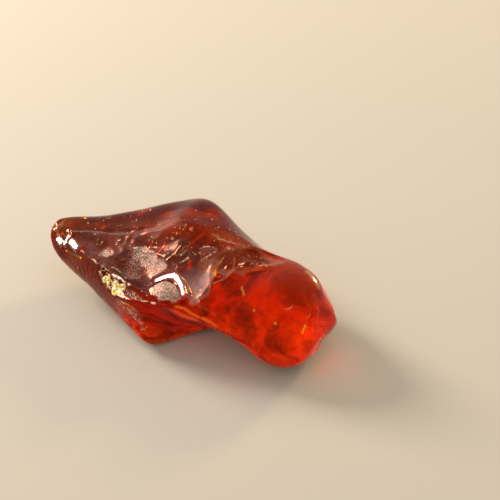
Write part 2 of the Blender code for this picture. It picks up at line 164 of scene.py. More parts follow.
# All in mm. A rail is a line along the pebble from its narrow tip (-X) to its lobe (+X).
pebble = {
    "stations": [-17.2, -15.0, -12.5, -10.0, -7.5, -5.0, -2.8, -0.8, 1.6, 4.5, 7.5, 10.5, 13.5, 16.5],
    # (y, z) of each rail at every station
    "rails": {
        "foot": [
            (-2.4, 4.2), (-3.5, 3.2), (-4.5, 2.9), (-5.5, 2.4), (-6.6, 1.8), (-7.8, 1.5), (-8.4, 0.8),
            (-8.1, 0.2), (-5.8, 0.1), (-3.8, 0.8), (-4.4, 1.6), (-5.7, 1.3), (-6.2, 0.8), (-4.8, 1.5),
        ],
        "flank": [
            (-2.7, 5.0), (-3.5, 4.9), (-4.8, 4.9), (-6.0, 4.8), (-7.2, 4.8), (-8.3, 4.5), (-8.9, 3.2),
            (-8.7, 1.6), (-6.6, 2.2), (-5.2, 2.8), (-6.0, 3.0), (-7.3, 2.8), (-7.6, 2.0), (-6.1, 2.3),
        ],
        "ridge": [
            (-2.4, 5.8), (-2.8, 6.3), (-3.9, 6.5), (-5.1, 6.5), (-6.6, 6.1), (-8.0, 6.0), (-8.4, 6.2),
            (-8.2, 6.6), (-8.0, 6.3), (-7.7, 5.4), (-7.6, 4.6), (-7.9, 4.2), (-7.8, 3.6), (-6.3, 3.6),
        ],
        "apron": [
            (-2.1, 6.4), (-2.3, 6.6), (-3.0, 6.6), (-3.7, 6.6), (-4.6, 6.5), (-5.2, 6.6), (-5.1, 7.1),
            (-4.8, 7.5), (-4.6, 7.3), (-5.2, 6.8), (-5.6, 6.6), (-6.4, 6.3), (-6.6, 5.9), (-5.8, 5.1),
        ],
        "saddle": [
            (-1.6, 6.8), (-1.8, 6.8), (-2.0, 6.7), (-2.1, 6.8), (-2.2, 7.1), (-2.0, 7.6), (-1.6, 8.5),
            (-1.2, 8.6), (-1.0, 8.3), (-1.6, 8.1), (-2.2, 8.0), (-3.0, 8.0), (-3.4, 7.9), (-3.1, 6.7),
        ],
        "crest": [
            (-1.0, 7.0), (-1.2, 6.9), (-1.0, 7.0), (-0.6, 7.2), (-0.1, 7.8), (0.8, 8.7), (1.7, 9.9),
            (2.4, 9.8), (2.8, 9.0), (2.6, 8.8), (1.4, 8.8), (0.2, 8.8), (-0.4, 8.7), (-0.9, 7.2),
        ],
        "shelf": [
            (0.0, 7.0), (0.7, 7.2), (1.4, 7.2), (2.2, 7.5), (3.0, 8.2), (4.0, 8.9), (4.8, 9.9), (5.3, 9.4),
            (4.8, 9.0), (4.0, 8.7), (3.2, 8.5), (2.6, 8.6), (2.0, 8.4), (0.7, 6.5),
        ],
        "rim": [
            (0.8, 6.3), (2.0, 6.5), (3.0, 6.9), (4.2, 7.5), (5.4, 8.2), (6.8, 8.8), (8.0, 9.1), (8.1, 8.8),
            (7.2, 8.0), (5.9, 7.3), (4.8, 6.9), (4.0, 7.3), (3.6, 6.6), (2.0, 4.9),
        ],
        "nape": [
            (1.2, 5.5), (2.7, 5.4), (4.0, 5.6), (5.5, 5.9), (6.9, 6.3), (8.2, 6.7), (9.2, 6.6), (9.0, 5.8),
            (8.1, 5.2), (7.0, 4.9), (6.2, 4.8), (5.6, 4.9), (4.8, 4.4), (2.7, 3.5),
        ],
        "heel": [
            (0.6, 4.6), (2.2, 4.0), (3.7, 3.5), (5.2, 3.2), (6.6, 3.0), (7.8, 3.0), (8.6, 2.8), (8.3, 2.4),
            (7.4, 2.1), (6.4, 2.0), (5.7, 2.0), (5.1, 2.0), (4.2, 1.9), (2.0, 1.9),
        ],
        "soleBack": [
            (-0.2, 4.1), (0.8, 3.2), (1.8, 2.5), (2.8, 1.7), (3.6, 1.0), (4.3, 0.4), (4.6, -0.2), (4.2, -0.4),
            (3.6, -0.4), (3.0, -0.2), (2.6, 0.0), (2.2, -0.2), (1.6, -0.1), (0.4, 1.2),
        ],
        "soleFront": [
            (-1.2, 4.0), (-1.2, 3.1), (-1.6, 2.3), (-2.1, 1.5), (-2.5, 0.8), (-2.8, 0.2), (-2.8, -0.3),
            (-2.2, -0.5), (-1.6, -0.4), (-1.0, 0.0), (-1.4, 0.2), (-2.4, -0.3), (-3.0, -0.3), (-2.5, 1.0),
        ],
    },
    # how sharp a rail is from one station to the next, 0 to 1
    "creases": {
        "ridge": [0.2, 0.4, 0.6, 0.7, 0.7, 0.8, 0.9, 0.9, 0.8, 0.6, 0.3, 0.1, 0.0],
        "flank": [0.0, 0.2, 0.3, 0.4, 0.5, 0.6, 0.7, 0.2, 0.0, 0.0, 0.0, 0.0, 0.0],
        "crest": [0.0, 0.3, 0.5, 0.5, 0.5, 0.5, 0.5, 0.4, 0.2, 0.0, 0.0, 0.0, 0.0],
    },
    # the four inner corners of the net that closes each end
    "tipEnd": [(-17.9, -1.5, 5.0), (-18.0, -0.2, 5.0), (-18.0, -1.3, 6.2), (-18.0, 0.0, 6.2)],
    "lobeEnd": [(17.2, -3.4, 2.9), (17.7, 0.1, 2.8), (17.7, -3.3, 4.6), (18.1, -0.1, 4.5)],
    # flakes and hollows: place, facing, half length, half width, heading, dish
    "scars": {
        "frostedBowl": ((-4.9, -4.0, 5.9), (-0.08, -0.22, 0.97), 4.4, 2.8, -20, 1.1),
        "bowlEnd": ((-3.1, -3.2, 7.1), (-0.43, -0.37, 0.82), 2.4, 1.7, -30, 0.2),
        "tipSideDish": ((-9.8, -2.8, 6.6), (-0.1, -0.2, 1.0), 2.6, 1.5, -20, 0.0),
        "glossyScoop": ((1.7, -3.9, 7.2), (0.15, -0.28, 0.95), 3.2, 2.2, -60, 0.1),
        "flowFace": ((-3.4, -0.6, 8.3), (-0.2, -0.5, 0.85), 3.6, 1.6, 20, 0.1),
        "shellScar": ((4.6, -1.7, 7.9), (0.0, -0.25, 0.97), 2.2, 1.5, 65, 0.1),
        "shellScarCore": ((4.2, -1.5, 7.8), (0.1, -0.25, 0.97), 1.3, 0.7, 65, 0.1),
        "neckBreak": ((7.4, 1.4, 8.2), (0.1, 0.05, 1.0), 3.0, 1.8, 20, 0.3),
        "neckChip": ((9.2, 1.1, 8.4), (0.3, 0.2, 0.9), 0.9, 0.7, 20, 0.3),
        "tipPit": ((-15.8, -2.2, 6.4), (0.0, -0.5, 0.85), 0.6, 0.5, 0, 0.3),
        "tipFlat": ((-16.7, -2.2, 6.35), (-0.43, -0.39, 0.81), 0.8, 0.6, -20, 0.1),
        "tipEdge": ((-14.2, -3.1, 6.35), (-0.43, -0.39, 0.81), 1.2, 0.7, -30, 0.1),
        "stripFlat": ((-5.6, -8.1, 3.2), (-0.45, -0.88, 0.1), 4.4, 1.5, -20, 0.1),
        "lobeNick": ((17.2, -2.4, 2.4), (0.8, -0.45, -0.3), 0.9, 0.7, 60, 0.3),
        "lobeFlake": ((12.5, 4.2, 5.8), (0.2, 0.85, 0.5), 3.2, 1.6, -15, 0.1),
        "lobeBack": ((17.0, 1.4, 4.2), (0.82, 0.54, 0.2), 3.0, 1.8, 60, 0.0),
        "backFlake": ((-8.3, 6.1, 6.1), (-0.5, 0.83, 0.24), 4.6, 1.5, 30, 0.1),
        "backLowFlake": ((-3.5, 8.6, 4.6), (-0.38, 0.91, -0.1), 3.4, 1.8, 20, 0.1),
        "backCorner": ((1.3, 7.7, 6.4), (0.45, 0.85, 0.25), 2.6, 2.0, -27, 0.1),
        "napeDish": ((6.5, 6.2, 4.6), (0.23, 0.95, 0.15), 3.4, 1.8, -12, 0.1),
        "bellyDish": ((-8.6, -0.6, 1.4), (-0.28, 0.0, -0.96), 4.4, 2.8, 12, 0.2),
        "bellyPit": ((2.6, -3.0, 0.5), (0.1, -0.4, -0.9), 1.8, 1.4, 40, 0.4),
        "soleDish": ((7.0, 0.6, 0.5), (0.0, 0.0, -1.0), 2.8, 2.2, 0, 0.5),
    },
    # place, half length, half width, heading, height
    "mounds": {
        "frostedMound": ((-0.1, -6.6, 7.0), 2.2, 1.5, -15, 0.5),
        "raisedFlake": ((2.0, -0.1, 8.5), 1.5, 0.9, 45, 0.2),
        "neckLump": ((6.9, 0.0, 8.2), 1.0, 0.7, 20, 0.35),
        "secondNeckLump": ((8.3, 0.9, 8.4), 0.8, 0.5, 30, 0.3),
        "lobeSwell": ((11.4, -2.2, 8.2), 4.0, 2.6, 20, 0.25),
        "lobeShoulder": ((14.6, 1.2, 7.6), 2.6, 1.6, -50, 0.3),
    },
    # grooves, and lips where the depth is below 0: x, y, z, half width and depth at each place
    "lines": {
        "fissure": [
            (-10.2, -4.7, 6.5, 0.2, 0.1), (-9.2, -5.3, 6.4, 0.4, 0.6), (-8.4, -6.0, 6.2, 0.6, 0.9),
            (-7.2, -6.8, 6.0, 0.8, 1.0), (-5.9, -7.4, 6.0, 0.8, 1.0), (-4.4, -7.9, 6.1, 0.6, 0.8),
            (-2.6, -8.1, 6.4, 0.4, 0.6), (-0.4, -8.2, 6.6, 0.3, 0.3),
        ],
        "fissureLip": [
            (-9.4, -4.7, 6.4, 0.3, -0.1), (-7.3, -5.6, 6.3, 0.4, -0.4), (-5.5, -6.4, 6.3, 0.4, -0.5),
            (-3.3, -7.2, 6.5, 0.4, -0.4), (-1.4, -7.8, 6.7, 0.3, -0.1),
        ],
        "moundMoat": [
            (-2.4, -6.4, 6.9, 0.5, 0.2), (-1.9, -5.3, 7.2, 0.6, 0.5), (-0.6, -4.7, 7.6, 0.7, 0.6),
            (0.8, -4.8, 7.4, 0.7, 0.6), (1.8, -5.7, 7.0, 0.6, 0.6), (2.3, -6.7, 6.7, 0.5, 0.4),
        ],
        "scoopRim": [
            (3.0, -6.5, 6.4, 0.4, -0.1), (3.8, -5.4, 6.7, 0.5, -0.3), (4.0, -4.0, 7.4, 0.5, -0.3),
            (3.4, -2.2, 7.9, 0.4, -0.2), (3.1, -0.6, 8.4, 0.3, -0.1),
        ],
        "crestFold": [
            (-13.0, -0.6, 7.0, 0.4, 0.1), (-8.3, 0.7, 7.8, 0.5, 0.3), (-4.7, 1.6, 9.0, 0.5, 0.3),
            (-2.4, 2.5, 10.0, 0.4, 0.2),
        ],
        "tipRing": [
            (-14.7, -3.0, 6.1, 0.3, -0.2), (-14.9, -2.4, 6.6, 0.3, -0.3), (-15.5, -1.5, 6.9, 0.3, -0.2),
        ],
        "ripple": [
            (-1.8, -2.7, 8.2, 0.25, -0.1), (-1.2, -1.9, 8.4, 0.25, -0.15), (-1.2, -0.6, 8.9, 0.2, -0.1),
        ],
        "shortRipple": [(-0.7, -1.8, 8.4, 0.25, -0.1), (-0.6, -0.5, 8.8, 0.2, -0.1)],
        "lowRipple": [(-0.2, -2.6, 8.1, 0.25, -0.1), (0.4, -1.3, 8.4, 0.2, -0.1)],
        "neckLedge": [
            (5.6, -2.4, 7.9, 0.3, -0.1), (6.2, -1.1, 8.3, 0.4, -0.3), (7.4, -0.7, 8.3, 0.4, -0.3),
            (8.8, 0.1, 8.7, 0.4, -0.4), (9.7, 1.4, 8.8, 0.3, -0.2),
        ],
        "lobeBevel": [
            (15.0, -0.8, 8.0, 0.6, -0.1), (16.3, -2.4, 6.9, 0.6, -0.2), (16.7, -4.2, 5.6, 0.6, -0.2),
            (15.6, -6.4, 4.2, 0.6, -0.1),
        ],
        "backSeam": [
            (-13.6, 3.0, 4.4, 0.3, 0.1), (-9.0, 5.7, 4.2, 0.4, 0.3), (-4.0, 7.8, 4.4, 0.4, 0.3),
            (1.0, 8.0, 4.0, 0.3, 0.1),
        ],
    },
    "roundings": 4,  # times that the net is divided
    "fittings": 6,
    "rimRise": 0.4,  # how much steeper a scar gets towards its rim
    "scarCut": 3.0,  # the tallest that a scar cuts
    "scarSpread": 4.0,  # how far it reaches, in squares of its own size
    "moundReach": 2.0,
    "moundSide": 0.1,  # how much of the way that a mound rises the surface has to face
    "moundFall": 1.5,  # how steeply a mound and a line end
    "lineFall": 0.8,
    # narrow facets that face the key light: half width, then points along the middle
    "gleamFacing": (-0.43, -0.39, 0.815),
    "gleams": {
        "foldBranch": (0.17, [(-0.49, -4.01, 7.29), (-0.61, -2.99, 7.8)]),
        "foldBar": (0.35, [
            (-2.33, -4.48, 6.23), (-1.71, -4.16, 6.66), (-1.14, -4.03, 6.99), (-0.49, -4.01, 7.29),
            (0.21, -4.43, 7.42), (1.16, -5.32, 7.43), (2.0, -6.35, 7.25),
        ]),
        "tipLow": (0.32, [(-16.51, -2.36, 5.91), (-15.89, -2.91, 5.92)]),
        "tipMiddle": (0.26, [(-15.1, -2.26, 6.63), (-15.24, -3.07, 6.11)]),
        "tipHigh": (0.32, [(-14.53, -2.78, 6.45), (-13.42, -3.62, 6.57)]),
        "lipThick": (0.2, [(-7.2, -6.0, 6.45), (-6.3, -6.3, 6.58)]),
    },
    # other facets: the way they face, half width, points along the middle
    "facets": {
        "crestSlope": ((-0.065, -0.62, 0.78), 0.9, [(-5.6, -0.3, 8.0), (-3.4, 0.2, 8.95), (-1.9, 1.1, 9.5)]),
    },
    # broken edges and threads: half width, rise, tones and points along the middle; pale is crushed amber,
    # the gold and ember tones are painted glints and painted glow that stand for light caught inside, and
    # gleam is a polished spot with a pale painted highlight
    "edges": {
        "lipStart": (0.13, 0.05, {"pale": 1.0}, [(-10.5, -4.65, 6.55), (-10.05, -4.85, 6.45)]),
        "shortLip": (0.09, 0.05, {"pale": 0.9}, [
            (-10.05, -4.85, 6.45), (-9.25, -5.15, 6.05), (-9.1, -5.65, 6.05),
        ]),
        "lowerLip": (0.12, 0.06, {"pale": 0.9}, [
            (-9.1, -5.65, 6.05), (-8.15, -6.5, 5.55), (-7.45, -6.85, 5.3), (-6.3, -7.3, 5.35),
            (-4.95, -8.0, 5.65), (-3.75, -7.9, 5.6), (-1.9, -8.25, 6.25), (-0.7, -8.15, 6.35),
        ]),
        "upperLip": (0.07, 0.04, {"pale": 0.7}, [
            (-10.05, -4.85, 6.45), (-9.05, -5.1, 6.35), (-8.1, -5.55, 6.45), (-7.05, -6.05, 6.5),
        ]),
        "thickLip": (0.12, 0.04, {"pale": 1.0}, [
            (-7.05, -6.05, 6.5), (-6.1, -6.35, 6.6), (-5.3, -6.7, 6.65), (-4.45, -7.0, 6.65),
        ]),
        "creamCurl": (0.09, 0.05, {"pale": 0.75}, [
            (-8.35, -4.95, 6.55), (-7.85, -4.85, 6.45), (-7.4, -4.75, 6.25), (-6.6, -5.0, 6.1),
            (-5.85, -5.45, 6.0),
        ]),
        "subRidge": (0.09, 0.05, {"pale": 0.1, "paintedGlint": 0.3}, [
            (-4.9, -8.28, 4.97), (-4.12, -8.5, 5.14), (-3.42, -8.63, 5.06), (-2.76, -8.7, 4.76),
        ]),
        "strip": (0.5, 0.03, {"frost": 0.5}, [
            (-5.8, -7.8, 4.8), (-4.6, -8.4, 4.5), (-3.6, -8.7, 4.2), (-2.6, -8.85, 3.65), (-2.05, -8.95, 2.9),
        ]),
        "chipLine": (0.12, 0.03, {"pale": 0.3}, [(3.1, -2.85, 7.65), (3.2, -3.3, 7.45), (3.15, -4.05, 7.15)]),
        "chipTail": (0.1, 0.03, {"pale": 0.6}, [(3.4, -5.3, 6.9), (3.5, -5.9, 6.75)]),
        "leaf": (0.07, 0.05, {"pale": 0.7}, [
            (0.95, 0.0, 8.6), (1.3, 0.65, 8.65), (2.15, 0.95, 8.6), (2.8, 0.7, 8.6), (2.45, -0.2, 8.55),
            (1.8, -1.25, 8.2),
        ]),
        "leafSide": (0.06, 0.04, {"pale": 0.5}, [(0.95, 0.0, 8.6), (1.4, -0.65, 8.5), (1.8, -0.4, 8.6)]),
        "rippleA": (0.09, 0.06, {"pale": 0.6, "paintedGlint": 0.08}, [
            (-1.9, -2.75, 8.2), (-1.35, -1.5, 8.65), (-1.2, -0.8, 8.9),
        ]),
        "rippleB": (0.08, 0.06, {"pale": 0.5, "paintedGlint": 0.08}, [
            (-0.6, -1.75, 8.5), (-0.45, -1.25, 8.6), (-0.3, -0.75, 8.75),
        ]),
        "rippleC": (0.09, 0.05, {"pale": 0.9}, [(-0.2, -2.55, 8.2), (0.1, -2.1, 8.3), (0.35, -1.55, 8.4)]),
        "rippleD": (0.07, 0.04, {"pale": 0.5}, [(-2.35, -1.1, 8.4), (-2.15, -0.5, 8.75), (-1.85, 0.0, 9.25)]),
        # painted streaks of light caught inside
        "emberA": (0.1, -0.03, {"paintedGlow": 0.16}, [
            (-4.85, -0.55, 8.0), (-5.1, -0.85, 7.7), (-5.0, -1.75, 7.5),
        ]),
        "emberB": (0.11, -0.03, {"paintedGlow": 0.3}, [(-3.3, -0.5, 8.4), (-3.4, -1.25, 8.0), (-3.5, -2.15, 7.75)]),
        "emberC": (0.18, 0.0, {"paintedGlow": 0.18}, [(0.55, -1.8, 8.2), (0.9, -2.7, 7.8)]),
        "emberVein": (0.14, 0.0, {"paintedGlow": 0.12}, [(0.5, 2.2, 9.2), (-0.05, 0.75, 9.0), (-0.45, -0.5, 8.8)]),
        "tipEmber": (0.14, 0.0, {"paintedGlow": 0.2}, [(-11.85, 0.6, 7.15), (-11.95, 0.2, 7.1)]),
        # painted sheen along the crest and the neck's lip
        "crestLine": (0.12, 0.04, {"paintedSheen": 0.6}, [
            (-15.1, -1.5, 6.8), (-13.65, -0.95, 6.9), (-12.0, -0.35, 6.9), (-10.0, -0.3, 7.25),
            (-8.3, 0.25, 7.55), (-6.75, 1.1, 7.9),
        ]),
        "crestBand": (0.28, 0.03, {"paintedSheen": 0.5}, [
            (-6.75, 1.1, 7.9), (-5.05, 1.7, 8.5), (-3.3, 1.35, 9.7), (-2.2, 1.6, 9.9),
        ]),
        "neckLip": (0.08, 0.04, {"paintedSheen": 0.5}, [(1.2, 2.65, 9.1), (2.95, 2.5, 8.75), (5.5, 2.45, 8.8)]),
        # painted glow of light caught along the front ridge
        "frontGlow": (0.15, 0.0, {"paintedGlow": 1.0, "paintedGlint": 0.05}, [
            (1.75, -7.75, 6.4), (2.4, -7.55, 6.25), (3.35, -7.5, 5.95), (4.35, -7.5, 5.6),
        ]),
        # painted glow of light caught on the back slope
        "backGlow": (0.8, 0.0, {"paintedGlow": 0.1}, [(-0.5, 5.9, 9.2), (0.4, 6.2, 9.1)]),
        "backPatch": (0.3, 0.0, {"paintedGlow": 0.15}, [(-8.76, 3.65, 7.93), (-7.87, 4.51, 8.22)]),
        "crestCluster": (0.2, 0.05, {"pale": 0.35}, [(-0.95, 1.95, 9.75), (-1.0, 1.15, 9.5)]),
        "tipThread": (0.05, 0.01, {"paintedGlint": 0.15}, [
            (-14.9, -3.4, 5.4), (-13.75, -3.85, 5.55), (-12.4, -4.35, 5.95),
        ]),
        # painted glint along a raised flake edge
        "crescent": (0.1, 0.02, {"paintedGlint": 1.0}, [(4.1, -2.55, 7.8), (3.8, -1.8, 7.9)]),
        "crescentTail": (0.06, 0.02, {"paintedGlint": 0.25}, [
            (3.8, -1.8, 7.9), (3.85, -1.05, 8.25), (4.0, 0.0, 8.4),
        ]),
        "shellArc": (0.08, 0.05, {"paintedGlint": 0.08, "pale": 0.05}, [
            (4.4, -3.55, 7.5), (4.95, -3.0, 7.7), (5.8, -1.95, 8.2), (5.6, -0.75, 8.3), (5.2, 0.4, 8.5),
        ]),
        "ledge": (0.1, 0.06, {"pale": 0.08}, [
            (6.15, -1.65, 8.25), (7.45, -1.05, 8.45), (8.1, -0.5, 8.8), (8.55, -0.1, 9.0),
        ]),
        "ledgeEnd": (0.11, 0.05, {"pale": 0.5}, [(8.55, -0.1, 9.0), (9.25, 0.35, 8.9), (9.2, 1.2, 8.7)]),
        "ridgeGlow": (0.14, 0.0, {"paintedGlow": 0.9, "paintedGlint": 0.05}, [
            (4.9, -7.4, 5.55), (5.8, -7.45, 5.35), (6.7, -7.5, 5.1),
        ]),
        "ridgeTail": (0.08, 0.0, {"paintedGlow": 0.5}, [(6.7, -7.5, 5.1), (7.85, -7.55, 4.85), (9.15, -7.7, 4.75)]),
        # a painted highlight along the lobe's upper right edge, fringed with painted glint
        "glintFringe": (0.3, 0.0, {"paintedGlint": 0.2, "gleam": 0.5}, [
            (13.8, 1.65, 8.5), (14.5, 1.2, 8.4), (15.0, 0.9, 8.25), (15.5, 0.55, 7.95),
        ]),
        "glint": (0.18, 0.0, {"gleam": 1.0}, [(14.3, 1.35, 8.45), (15.0, 0.9, 8.25), (15.4, 0.65, 8.0)]),
        # painted glints of light caught in the lobe
        "lobeThreadA": (0.08, 0.0, {"paintedGlint": 0.3}, [(7.65, -2.95, 7.8), (8.35, -3.9, 7.5)]),
        "lobeThreadB": (0.09, 0.0, {"paintedGlint": 0.8}, [(16.1, -5.25, 5.9), (16.15, -4.5, 6.35)]),
        "lobeThreadC": (0.07, 0.0, {"paintedGlint": 0.3}, [(15.9, -3.85, 6.85), (16.2, -3.15, 7.0)]),
        "lobeCurl": (0.08, 0.02, {"pale": 0.1, "paintedGlint": 0.1}, [
            (13.35, -4.15, 7.6), (13.9, -4.0, 7.6), (14.1, -3.55, 7.75),
        ]),
        "lobeDash": (0.07, 0.0, {"paintedGlint": 0.4}, [(10.14, -5.11, 7.05), (10.3, -5.3, 6.95)]),
        "lobeDot": (0.09, 0.0, {"paintedGlint": 0.8}, [(13.05, -5.9, 6.6), (13.1, -5.75, 6.7)]),
        "tanCurve": (0.07, 0.03, {"pale": 0.05, "paintedGlint": 0.05}, [
            (2.65, -6.65, 6.45), (3.6, -6.45, 6.4), (4.4, -6.45, 6.2), (5.35, -6.5, 6.05), (6.4, -6.7, 5.85),
        ]),
    },
    # small round spots: place and radius; chips are knocked out of the skin, and sparks are only colour,
    # painted glints and painted glow
    "chipDepth": 0.05,
    "chips": [
        ((-2.5, -2.3, 8.2), 0.14), ((-3.25, 0.0, 8.85), 0.12), ((-5.5, -0.5, 8.05), 0.16),
        ((-4.55, -0.45, 8.25), 0.12), ((-9.1, -1.05, 7.2), 0.13), ((-9.2, -1.6, 7.0), 0.1),
        ((-12.2, -0.75, 6.95), 0.2), ((-8.35, 0.8, 7.5), 0.12), ((-8.65, 2.4, 7.85), 0.1),
        ((-0.9, -3.0, 8.1), 0.12), ((-2.2, -1.9, 8.3), 0.1), ((3.3, -4.7, 7.0), 0.13),
        ((-2.65, 0.1, 8.9), 0.14), ((-2.3, 0.85, 9.35), 0.12), ((-1.1, 1.65, 9.8), 0.18),
        ((-1.75, 1.9, 9.95), 0.15), ((-0.75, 1.4, 9.5), 0.2), ((3.75, -5.95, 6.65), 0.14),
        ((3.8, 1.5, 8.6), 0.2),
    ],
    "paintedGlintSparks": [
        ((-14.7, 0.9, 7.15), 0.13), ((-17.1, -1.6, 6.8), 0.12), ((-14.9, -3.4, 5.4), 0.11),
        ((-12.45, -4.35, 5.95), 0.12),
    ],
    "paintedGlowSparks": [
        ((-16.0, -2.15, 6.55), 0.12), ((-12.65, -3.8, 6.5), 0.11), ((-12.6, -4.85, 4.6), 0.1),
        ((3.95, 3.85, 8.85), 0.11),
    ],
    # where a spot, an edge and a facet have faded out, in radii or half widths
    "spotEdge": 1.6,
    "threadEdge": 1.5,
    "facetEdge": 1.8,
    "facetDepth": 1.2,  # the farthest that a facet moves a point
    "facetSide": 0.2,  # how much of the way a facet faces the surface has to face already
    "ribbonStep": 0.06,  # between the points of a smooth path
    "ribbonReach": 3.0,  # half widths beside it that are looked at
    "soleHeight": 0.02,  # what is lower is worn flat
    "fit": 0.9995,  # how much of the CAD piece's box is filled
    # where the relief is finest: lowest and highest corners
    "fineBoxes": [
        ((-17.0, -9.8, 4.9), (9.8, 2.4, 12.0)),  # upper face and the split
        ((10.0, -6.0, 6.0), (16.8, -2.0, 8.2)),  # threads in the lobe
    ],
}


def netOf(form):
    # points, faces and creased edges of the net of rails and stations; nine faces close each end
    names = list(form["rails"])
    around = len(names)
    points = [(x, *form["rails"][name][i]) for i, x in enumerate(form["stations"]) for name in names]
    rings = [list(range(i * around, (i + 1) * around)) for i in range(len(form["stations"]))]
    faces = [
        (near[k], near[(k + 1) % around], far[(k + 1) % around], far[k])
        for near, far in zip(rings, rings[1:])
        for k in range(around)
    ]
    for ring, end in ((rings[0], form["tipEnd"]), (rings[-1], form["lobeEnd"])):
        a, b, c, d = range(len(points), len(points) + 4)
        rows = [
            [ring[11], ring[10], ring[9], ring[8]],
            [ring[0], a, b, ring[7]],
            [ring[1], c, d, ring[6]],
            ring[2:6],
        ]
        faces += [
            (near[k], near[k + 1], far[k + 1], far[k]) for near, far in zip(rows, rows[1:]) for k in range(3)
        ]
        points += end
    creases = {}
    for name, sharps in form["creases"].items():
        for i, sharp in enumerate(sharps):
            creases[frozenset((rings[i][names.index(name)], rings[i + 1][names.index(name)]))] = sharp
    return np.array(points, dtype=float) * mm, faces, creases


def roundedMesh(form):
    # the smooth surface through the net's points: the net is pushed out by what each rounding takes off
    points, faces, creases = netOf(form)
    mesh = bpy.data.meshes.new("net")
    mesh.from_pydata(points, [], faces)
    work = bmesh.new()
    work.from_mesh(mesh)
    bmesh.ops.recalc_face_normals(work, faces=work.faces)
    layer = work.edges.layers.float.new("crease_edge")
    for edge in work.edges:
        edge[layer] = creases.get(frozenset(v.index for v in edge.verts), 0.0)
    work.to_mesh(mesh)
    work.free()
    net = newObject("net", mesh)
    rounding = net.modifiers.new("rounding", "SUBSURF")
    rounding.levels = rounding.render_levels = form["roundings"]
    pushed = points.copy()
    for _ in range(form["fittings"]):
        surface = net.evaluated_get(bpy.context.evaluated_depsgraph_get()).data
        reached = np.array([surface.vertices[i].co for i in range(len(points))])
        pushed += points - reached
        mesh.vertices.foreach_set("co", pushed.astype(np.float32).ravel())
        mesh.update()
        bpy.context.view_layer.update()
    smooth = bpy.data.meshes.new_from_object(net.evaluated_get(bpy.context.evaluated_depsgraph_get()))
    bpy.data.objects.remove(net)
    return smooth


def refine(mesh, boxes):
    # one more rounding's worth of faces inside the boxes
    work = bmesh.new()
    work.from_mesh(mesh)
    edges = set()
    for face in work.faces:
        middle = face.calc_center_median() / mm
        if any(all(low[i] < middle[i] < high[i] for i in range(3)) for low, high in boxes):
            edges.update(face.edges)
    bmesh.ops.subdivide_edges(work, edges=list(edges), cuts=1, use_grid_fill=True)
    work.to_mesh(mesh)
    work.free()


def vectors(items, name):
    flat = np.empty(len(items) * 3, dtype=np.float32)
    items.foreach_get(name, flat)
    return flat.reshape(-1, 3).astype(float)


def ovalReach(points, place, facing, long, wide, heading):
    # offsets from a place, and how far out each point is in an oval on the plane that faces a given way
    turn = math.radians(heading)
    along = np.array([math.cos(turn), math.sin(turn), 0.0])
    along -= facing * (along @ facing)
    along /= np.linalg.norm(along)
    across = np.cross(facing, along)
    offsets = points - np.array(place)
    return offsets, (offsets @ along / long) ** 2 + (offsets @ across / wide) ** 2


def scarPush(points, normals, form, place, facing, long, wide, heading, dish):
    # a flake's floor: what stands above it comes down to it
    facing = np.array(facing) / np.linalg.norm(facing)
    offsets, reach = ovalReach(points, place, facing, long, wide, heading)
    height = offsets @ facing
    above = np.clip(height - (dish + form["rimRise"]) * reach, 0.0, None)
    near = (height < form["scarCut"]) & (normals @ facing > 0.0) & (reach < form["scarSpread"])
    return -(above * near)[:, None] * facing


def moundPush(points, normals, form, place, long, wide, heading, height):
    facing = normals[np.argmin(((points - np.array(place)) ** 2).sum(axis=1))]
    offsets, reach = ovalReach(points, place, facing, long, wide, heading)
    near = (np.abs(offsets @ facing) < form["moundReach"]) & (normals @ facing > form["moundSide"])
    return (height * np.clip(1.0 - reach, 0.0, 1.0) ** form["moundFall"] * near)[:, None] * facing


def linePush(points, normals, form, line):
    # each point of a line says how wide and how deep it is there
    best = np.full(len(points), np.inf)
    depth = np.zeros(len(points))
    for start, end in zip(line, line[1:]):
        start, end = np.array(start), np.array(end)
        run = end[:3] - start[:3]
        share = np.clip((points - start[:3]) @ run / (run @ run), 0.0, 1.0)
        spot = start + share[:, None] * (end - start)
        reach = np.linalg.norm(points - spot[:, :3], axis=1) / spot[:, 3]
        closer = reach < best
        best[closer] = reach[closer]
        depth[closer] = spot[closer, 4]
    return -(depth * np.clip(1.0 - best, 0.0, None) ** form["lineFall"])[:, None] * normals


farAway = 1000.0  # mm, for points that are not near a path


def sampled(path, step):
    # points along a smooth curve through the path's points, and the curve's direction at each
    knots = [Vector(spot) for spot in path]
    ends = [2 * knots[0] - knots[1]] + knots + [2 * knots[-1] - knots[-2]]
    spots = []
    for before, start, end, after in zip(ends, ends[1:], ends[2:], ends[3:]):
        count = max(2, int((end - start).length / step))
        for k in range(count):
            s = k / count
            spots.append(
                0.5 * (2 * start + (end - before) * s + (2 * before - 5 * start + 4 * end - after) * s * s
                       + (3 * start - before - 3 * end + after) * s ** 3)
            )
    spots = np.array(spots + [knots[-1]])
    along = np.gradient(spots, axis=0)
    return spots, along / np.linalg.norm(along, axis=1)[:, None]


def nearestOn(points, spots, limit):
    # for each point: how far the nearest spot is, and which spot that is
    low, high = spots.min(axis=0) - limit, spots.max(axis=0) + limit
    close = np.nonzero(np.all((points > low) & (points < high), axis=1))[0]
    distance = np.full(len(points), farAway)
    index = np.zeros(len(points), dtype=int)
    gaps = np.linalg.norm(points[close][:, None, :] - spots[None], axis=2)
    distance[close] = gaps.min(axis=1)
    index[close] = gaps.argmin(axis=1)
    return distance, index


